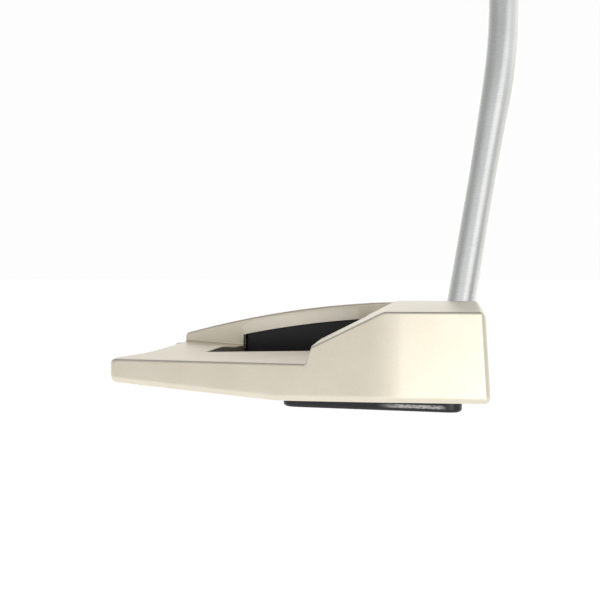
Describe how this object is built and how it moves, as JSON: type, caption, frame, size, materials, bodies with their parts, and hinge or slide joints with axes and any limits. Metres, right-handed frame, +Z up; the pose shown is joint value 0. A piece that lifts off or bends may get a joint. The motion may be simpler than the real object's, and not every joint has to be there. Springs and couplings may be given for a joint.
{
  "type": "mallet putter",
  "caption": "Winged mallet putter: head with a raised centre ridge over a black core, black sole plate, bent steel shaft and pistol grip.",
  "frame": {"origin": "on the ground, at the middle of the sole plate's flat underside", "axes": "+X the way the face points, +Y from the toe to the heel, +Z up; the shaft leans towards +Y at a lie angle of 70 degrees"},
  "size_m": [0.1265, 0.3733, 0.8143],
  "materials": {
    "head_metal": "champagne anodised over fine bead blast",
    "black_metal": "black anodised, satin",
    "shaft_metal": "plated steel tube, bright satin",
    "screw_metal": "black oxide",
    "weight_metal": "turned stainless steel",
    "gasket_rubber": "matte",
    "inlay_paint": "cured enamel fill",
    "grip_rubber": "matte, fine dimples",
    "cap_plastic": "moulded",
    "tape": "double-sided tape",
    "band_film": "plain graphite film",
    "plug_nylon": "moulded"
  },
  "bodies": {
    "root": {"head_body": "head_metal", "center_core": "black_metal", "sole_plate": "black_metal", "sole_gasket": "gasket_rubber", "sole_screw_1": "screw_metal", "sole_screw_2": "screw_metal", "sole_screw_3": "screw_metal", "sole_screw_4": "screw_metal", "core_screw_1": "screw_metal", "core_screw_2": "screw_metal", "toe_weight": "weight_metal", "heel_weight": "weight_metal", "toe_weight_ring": "gasket_rubber", "heel_weight_ring": "gasket_rubber", "sight_line": "inlay_paint", "shaft": "shaft_metal", "tip_plug": "plug_nylon", "shaft_band": "band_film", "grip_tape": "tape", "grip": "grip_rubber", "grip_cap": "cap_plastic"}
  },
  "joints": []
}
